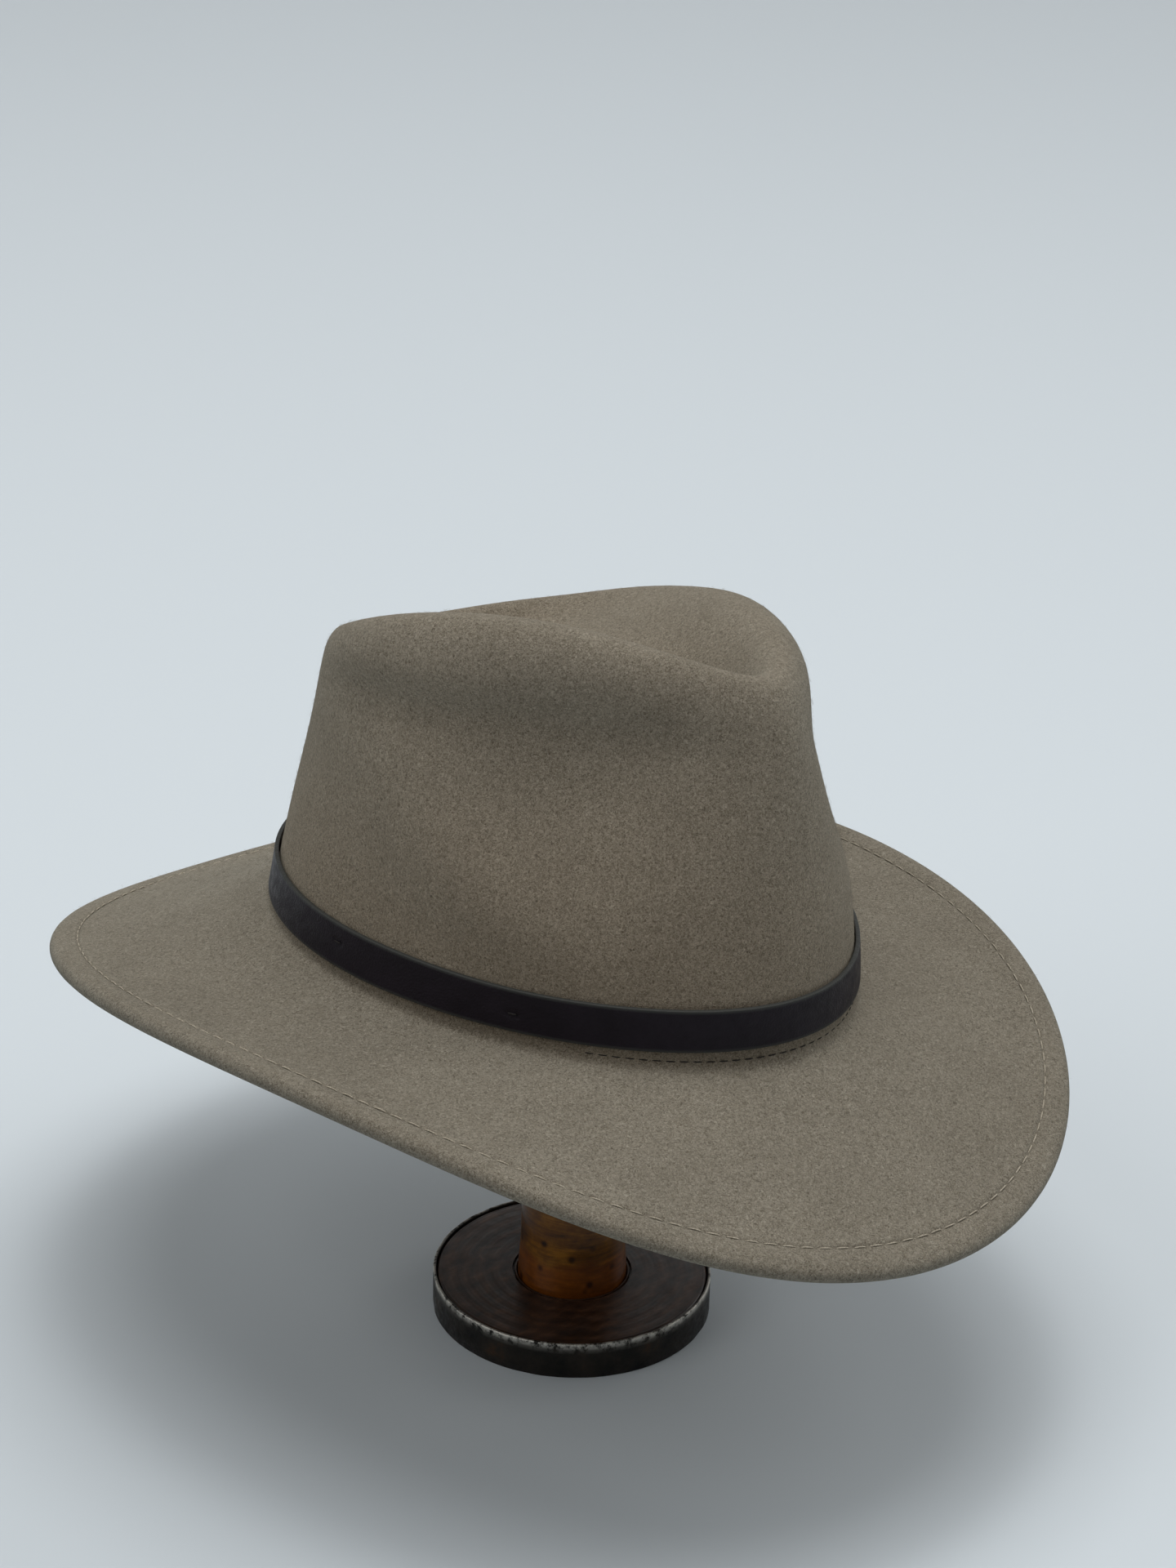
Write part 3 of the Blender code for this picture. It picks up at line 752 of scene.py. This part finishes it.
def noise(tree, place, scale, detail=4.0, rough=0.6, stretch=(1, 1, 1), turn=(0, 0, 0), curl=0.0):
    """Cloudy noise at a number of cells a metre, stretched and turned by a mapping, and curled by itself."""
    mapping = tree.nodes.new("ShaderNodeMapping")
    mapping.inputs["Scale"].default_value = stretch
    mapping.inputs["Rotation"].default_value = turn
    tree.links.new(place, mapping.inputs["Vector"])
    made = tree.nodes.new("ShaderNodeTexNoise")
    made.inputs["Scale"].default_value = scale
    made.inputs["Detail"].default_value = detail
    made.inputs["Roughness"].default_value = rough
    made.inputs["Distortion"].default_value = curl
    tree.links.new(mapping.outputs["Vector"], made.inputs["Vector"])
    return made.outputs["Fac"]


def ramp(tree, value, stops):
    """A run of colours or greys along a value."""
    made = tree.nodes.new("ShaderNodeValToRGB")
    made.color_ramp.elements[0].position = stops[0][0]
    made.color_ramp.elements[1].position = stops[-1][0]
    for place, colour in stops[1:-1]:
        made.color_ramp.elements.new(place)
    for element, (place, colour) in zip(made.color_ramp.elements, stops):
        element.color = (*colour, 1.0)
    tree.links.new(value, made.inputs["Fac"])
    return made.outputs["Color"]


def grey_ramp(tree, value, *stops):
    """The same for plain numbers, given as pairs of place and grey."""
    return ramp(tree, value, [(place, (grey,) * 3) for place, grey in stops])


def mix(tree, kind, share, first, second):
    """Mixes two colours by a fixed share or by a value."""
    made = tree.nodes.new("ShaderNodeMix")
    made.data_type = "RGBA"
    made.blend_type = kind
    for name, value in (("Factor", share), ("A", first), ("B", second)):
        socket = made.inputs[name]
        if isinstance(value, (int, float)):
            socket.default_value = value
        elif isinstance(value, tuple):
            socket.default_value = (*value, 1.0)
        else:
            tree.links.new(value, socket)
    return made.outputs["Result"]


def reckon(tree, kind, first, second=0.0):
    """One sum, product or other step on one or two numbers."""
    made = tree.nodes.new("ShaderNodeMath")
    made.operation = kind
    for socket, value in zip(made.inputs, (first, second)):
        if isinstance(value, (int, float)):
            socket.default_value = value
        else:
            tree.links.new(value, socket)
    return made.outputs["Value"]


def attribute(tree, name):
    """A number stored along the surface."""
    made = tree.nodes.new("ShaderNodeAttribute")
    made.attribute_name = name
    return made.outputs["Fac"]


def bump(tree, height, strength, distance, under=None):
    """Turns a height into a bent normal, over another bump if there is one."""
    made = tree.nodes.new("ShaderNodeBump")
    made.inputs["Strength"].default_value = strength
    made.inputs["Distance"].default_value = distance
    tree.links.new(height, made.inputs["Height"])
    if under is not None:
        tree.links.new(under, made.inputs["Normal"])
    return made.outputs["Normal"]


def curls(tree, place, scale, turn):
    """Thin winding lines: the places where a curled noise crosses its middle value."""
    wave = noise(tree, place, scale, 2.0, 0.5, turn=turn, curl=1.6)
    return grey_ramp(tree, wave, (0.452, 0.0), (0.492, 1.0), (0.508, 1.0), (0.548, 0.0))


def felt_finish():
    """Wool felt: pale curled fibres on a darker ground, soft clouds, and painted shade, warm low on the
    crown, plain on the inner face and round the turned edge, and in the sewn groove.
    """
    look, tree, shader, place = finish("wool_felt", (0.22, 0.19, 0.145), 0.95)
    speck = noise(tree, place, 1300, 4.0, 0.7, curl=1.2)
    coarse = curls(tree, place, 430, (0.5, 0.3, 0.2))
    fine = curls(tree, place, 560, (1.3, 0.4, 2.1))
    strands = reckon(tree, "MULTIPLY", reckon(tree, "MAXIMUM", coarse, fine), speck)
    patch = noise(tree, place, 38, 3.0, 0.55)
    base = ramp(tree, speck, ((0.34, (0.090, 0.073, 0.053)), (0.48, (0.195, 0.168, 0.126)),
                              (0.56, (0.238, 0.209, 0.161)), (0.68, (0.385, 0.348, 0.280))))
    base = mix(tree, "MIX", reckon(tree, "MULTIPLY", strands, 0.80), base, (0.420, 0.380, 0.308))
    clouds = ramp(tree, patch, ((0.32, (0.94, 0.935, 0.93)), (0.68, (1.05, 1.05, 1.05))))
    base = mix(tree, "MULTIPLY", 1.0, base, clouds)
    # Painted warm shade low on the crown
    base = mix(tree, "MULTIPLY", attribute(tree, "crown"), base, (1.0, 0.93, 0.87))
    # Painted shade on the inner face and round the turned edge
    base = mix(tree, "MULTIPLY", attribute(tree, "underside_shade"), base, (0.62, 0.62, 0.62))
    # Painted shade in the sewn groove
    groove = reckon(tree, "MULTIPLY", attribute(tree, "groove"), 0.12)
    base = mix(tree, "MIX", groove, base, (0.085, 0.070, 0.052))
    tree.links.new(base, shader.inputs["Base Color"])
    fuzz = bump(tree, reckon(tree, "ADD", speck, reckon(tree, "MULTIPLY", strands, 0.5)), 0.65, 0.0008)
    tree.links.new(bump(tree, noise(tree, place, 160, 3.0, 0.6), 0.20, 0.0012, fuzz), shader.inputs["Normal"])
    shader.inputs["Specular IOR Level"].default_value = 0.12
    shader.inputs["Sheen Weight"].default_value = 0.20
    shader.inputs["Sheen Roughness"].default_value = 0.40
    shader.inputs["Sheen Tint"].default_value = (0.80, 0.86, 0.76, 1.0)
    return look


def leather_finish(name, colour, pale, edge, roughness):
    """Leather: fine cells of grain and creases in the height, a slight change of tone, a paler cut edge."""
    look, tree, shader, place = finish(name, colour, roughness)
    tone = noise(tree, place, 90, 4.0, 0.6)
    base = ramp(tree, tone, ((0.35, colour), (0.70, pale)))
    base = mix(tree, "MIX", reckon(tree, "MULTIPLY", attribute(tree, "cut_edge"), 0.85), base, edge)
    tree.links.new(base, shader.inputs["Base Color"])
    cells = tree.nodes.new("ShaderNodeTexVoronoi")
    cells.inputs["Scale"].default_value = 1500
    tree.links.new(place, cells.inputs["Vector"])
    grain = reckon(tree, "ADD", cells.outputs["Distance"], noise(tree, place, 700, 4.0, 0.7))
    tree.links.new(bump(tree, grain, 0.35, 0.0003), shader.inputs["Normal"])
    rough = grey_ramp(tree, noise(tree, place, 300, 3.0), (0.3, roughness - 0.08), (0.7, roughness + 0.1))
    tree.links.new(rough, shader.inputs["Roughness"])
    shader.inputs["Specular IOR Level"].default_value = 0.21
    return look


def thread_finish(name, dark, pale):
    """Twisted thread: fine slanting bands between two shades."""
    look, tree, shader, place = finish(name, dark, 0.85)
    twist = noise(tree, place, 2600, 2.0, 0.6, (1.0, 1.0, 0.5))
    tree.links.new(ramp(tree, twist, ((0.38, dark), (0.62, pale))), shader.inputs["Base Color"])
    tree.links.new(bump(tree, twist, 0.4, 0.0002), shader.inputs["Normal"])
    shader.inputs["Specular IOR Level"].default_value = 0.2
    return look


def plate_finish():
    """Dark stained wood turned on a lathe: rings round the middle, long pores, and a worn, waxed sheen."""
    look, tree, shader, place = finish("dark_plate_wood", (0.030, 0.013, 0.008), 0.42)
    grain = noise(tree, place, 260, 6.0, 0.65, (0.25, 1.0, 1.0), (0, 0, 0.5))
    wave = tree.nodes.new("ShaderNodeTexWave")
    wave.wave_type = "RINGS"
    wave.rings_direction = "Z"
    wave.inputs["Scale"].default_value = 55
    wave.inputs["Distortion"].default_value = 6.0
    wave.inputs["Detail"].default_value = 5.0
    wave.inputs["Detail Scale"].default_value = 2.4
    tree.links.new(place, wave.inputs["Vector"])
    rings = reckon(tree, "MULTIPLY", wave.outputs["Fac"], 0.14)
    streak = reckon(tree, "ADD", reckon(tree, "MULTIPLY", grain, 0.75), rings)
    base = ramp(tree, streak, ((0.30, (0.012, 0.005, 0.003)), (0.50, (0.046, 0.020, 0.010)),
                               (0.66, (0.105, 0.050, 0.026))))
    tree.links.new(base, shader.inputs["Base Color"])
    tree.links.new(bump(tree, streak, 0.25, 0.0004), shader.inputs["Normal"])
    worn = grey_ramp(tree, noise(tree, place, 120, 5.0, 0.7), (0.35, 0.30), (0.70, 0.58))
    tree.links.new(worn, shader.inputs["Roughness"])
    shader.inputs["Specular IOR Level"].default_value = 0.45
    shader.inputs["Coat Weight"].default_value = 0.20
    shader.inputs["Coat Roughness"].default_value = 0.32
    return look


def column_finish():
    """Amber varnished wood: fine streaks round the column, redder towards its foot, small dark knots."""
    look, tree, shader, place = finish("amber_column_wood", (0.12, 0.045, 0.004), 0.32)
    grain = noise(tree, place, 520, 5.0, 0.6, (0.12, 0.12, 1.0), curl=0.6)
    cloud = noise(tree, place, 95, 5.0, 0.65, (1.0, 1.0, 1.4))
    blend = reckon(tree, "ADD", reckon(tree, "MULTIPLY", grain, 0.45), reckon(tree, "MULTIPLY", cloud, 0.55))
    base = ramp(tree, blend, ((0.36, (0.040, 0.013, 0.0010)), (0.50, (0.125, 0.045, 0.003)),
                              (0.62, (0.240, 0.098, 0.008))))
    warm = ramp(tree, blend, ((0.32, (0.070, 0.018, 0.0012)), (0.50, (0.160, 0.044, 0.003)),
                              (0.66, (0.270, 0.082, 0.007))))
    split = tree.nodes.new("ShaderNodeSeparateXYZ")
    tree.links.new(place, split.inputs["Vector"])
    edge = reckon(tree, "ADD", split.outputs["Z"], reckon(tree, "MULTIPLY", cloud, 0.012))
    foot = grey_ramp(tree, reckon(tree, "MULTIPLY", edge, 10.0), (0.285, 1.0), (0.325, 0.0))
    base = mix(tree, "MIX", foot, base, warm)
    spot = tree.nodes.new("ShaderNodeTexVoronoi")
    spot.inputs["Scale"].default_value = 110
    tree.links.new(place, spot.inputs["Vector"])
    speck = ramp(tree, spot.outputs["Distance"], ((0.08, (0.10, 0.05, 0.03)), (0.20, (1.0, 1.0, 1.0))))
    tree.links.new(mix(tree, "MULTIPLY", 0.9, base, speck), shader.inputs["Base Color"])
    tree.links.new(bump(tree, blend, 0.22, 0.0004), shader.inputs["Normal"])
    shader.inputs["Specular IOR Level"].default_value = 0.3
    shader.inputs["Coat Weight"].default_value = 0.35
    shader.inputs["Coat Roughness"].default_value = 0.14
    return look


def iron_finish():
    """Old iron strap: near black and pitted, rust-brown in places, rubbed bright along its upper edge."""
    look, tree, shader, place = finish("worn_iron", (0.020, 0.018, 0.015), 0.5)
    pit = noise(tree, place, 340, 6.0, 0.7)
    rust = noise(tree, place, 90, 4.0, 0.6)
    base = ramp(tree, rust, ((0.35, (0.012, 0.012, 0.011)), (0.60, (0.035, 0.028, 0.022)),
                             (0.75, (0.075, 0.040, 0.022))))
    bare = reckon(tree, "MULTIPLY", attribute(tree, "worn"), grey_ramp(tree, pit, (0.40, 0.0), (0.54, 1.0)))
    base = mix(tree, "MIX", bare, base, (0.72, 0.69, 0.62))
    tree.links.new(base, shader.inputs["Base Color"])
    tree.links.new(bump(tree, pit, 0.5, 0.0005), shader.inputs["Normal"])
    tree.links.new(grey_ramp(tree, pit, (0.35, 0.34), (0.70, 0.62)), shader.inputs["Roughness"])
    shader.inputs["Metallic"].default_value = 0.75
    return look


def floor_finish():
    """A smooth pale blue-grey sweep."""
    look, _, shader, _ = finish("pale_sweep", (0.66, 0.715, 0.75), 0.85)
    shader.inputs["Specular IOR Level"].default_value = 0.2
    return look


def room():
    """A wide pale floor, and air that lights the hat faintly and is seen in the grey of the far floor."""
    mesh = bpy.data.meshes.new("floor")
    corners = [(-1, -1), (1, -1), (1, 1), (-1, 1)]
    mesh.from_pydata([(x * FLOOR_REACH, y * FLOOR_REACH, 0) for x, y in corners], [], [(0, 1, 2, 3)])
    mesh.materials.append(floor_finish())
    ground = add_to_scene("floor", mesh)

    world = bpy.data.worlds.new("studio_air")
    bpy.context.scene.world = world
    world.use_nodes = True
    tree = world.node_tree
    air = tree.nodes["Background"]
    air.inputs["Color"].default_value = (0.97, 1.0, 1.02, 1.0)
    air.inputs["Strength"].default_value = 0.11
    wall = tree.nodes.new("ShaderNodeBackground")
    wall.inputs["Color"].default_value = (0.345, 0.367, 0.382, 1.0)
    seen = tree.nodes.new("ShaderNodeLightPath")
    both = tree.nodes.new("ShaderNodeMixShader")
    tree.links.new(seen.outputs["Is Camera Ray"], both.inputs[0])
    tree.links.new(air.outputs["Background"], both.inputs[1])
    tree.links.new(wall.outputs["Background"], both.inputs[2])
    tree.links.new(both.outputs["Shader"], tree.nodes["World Output"].inputs["Surface"])


def lights():
    """Soft discs overhead, and a wide, soft glow from each wall."""
    for name, size, power in CEILING_LAMPS:
        lamp = bpy.data.lights.new(name, "AREA")
        lamp.shape = "DISK"
        lamp.size = size
        lamp.energy = power
        add_to_scene(name, lamp).location = (0.0, 0.0, CEILING)
    for name, way, strength in WALL_GLOWS:
        lamp = bpy.data.lights.new(name, "SUN")
        lamp.energy = strength
        lamp.angle = np.radians(GLOW_SPREAD)
        holder = add_to_scene(name, lamp)
        holder.rotation_mode = "QUATERNION"
        holder.rotation_quaternion = Vector(way).to_track_quat("-Z", "Y")


def photo_camera():
    """The photograph's camera: dipped, panned and rolled in front of the hat, then swung round it."""
    lens = bpy.data.cameras.new("photo_camera")
    lens.sensor_width = SENSOR
    lens.lens = FOCAL_SHARE * SENSOR
    lens.clip_start = 0.05
    lens.clip_end = 60.0
    camera = add_to_scene("photo_camera", lens)
    swing, dip, pan, roll = np.radians((CAMERA_SWING, CAMERA_DIP, CAMERA_PAN, CAMERA_ROLL))
    ahead = Vector((np.sin(pan) * np.cos(dip), np.cos(pan) * np.cos(dip), -np.sin(dip)))
    right = Vector((np.cos(pan), -np.sin(pan), 0.0))
    up = right.cross(ahead)
    tilted = right * np.cos(roll) + up * np.sin(roll)
    upright = up * np.cos(roll) - right * np.sin(roll)
    stand = Matrix((tilted, upright, -ahead)).transposed().to_4x4()
    stand.translation = Vector(CAMERA_PLACE)
    camera.matrix_world = Matrix.Rotation(swing, 4, "Z") @ stand
    bpy.context.scene.camera = camera
    bpy.context.scene.view_settings.view_transform = "Standard"


room()
lights()
photo_camera()
felt = felt_finish()
felt_hat(felt)
hat_band(leather_finish("band_leather", (0.0058, 0.0032, 0.0064), (0.0098, 0.0060, 0.0106),
                        (0.045, 0.047, 0.042), 0.50))
sweatband(leather_finish("sweatband_leather", (0.060, 0.034, 0.022), (0.095, 0.058, 0.038),
                         (0.12, 0.09, 0.06), 0.55))
brim_sewing(thread_finish("brim_thread", (0.29, 0.255, 0.195), (0.50, 0.45, 0.36)))
dark_thread = thread_finish("dark_thread", (0.010, 0.009, 0.009), (0.030, 0.026, 0.024))
crown_seam(dark_thread)
band_tacks(dark_thread)
nap("crown_nap", felt, "crown", 11)
nap("brim_nap", felt, "brim", 12)
stand_pieces({"plate": plate_finish(), "column": column_finish(), "iron": iron_finish()})
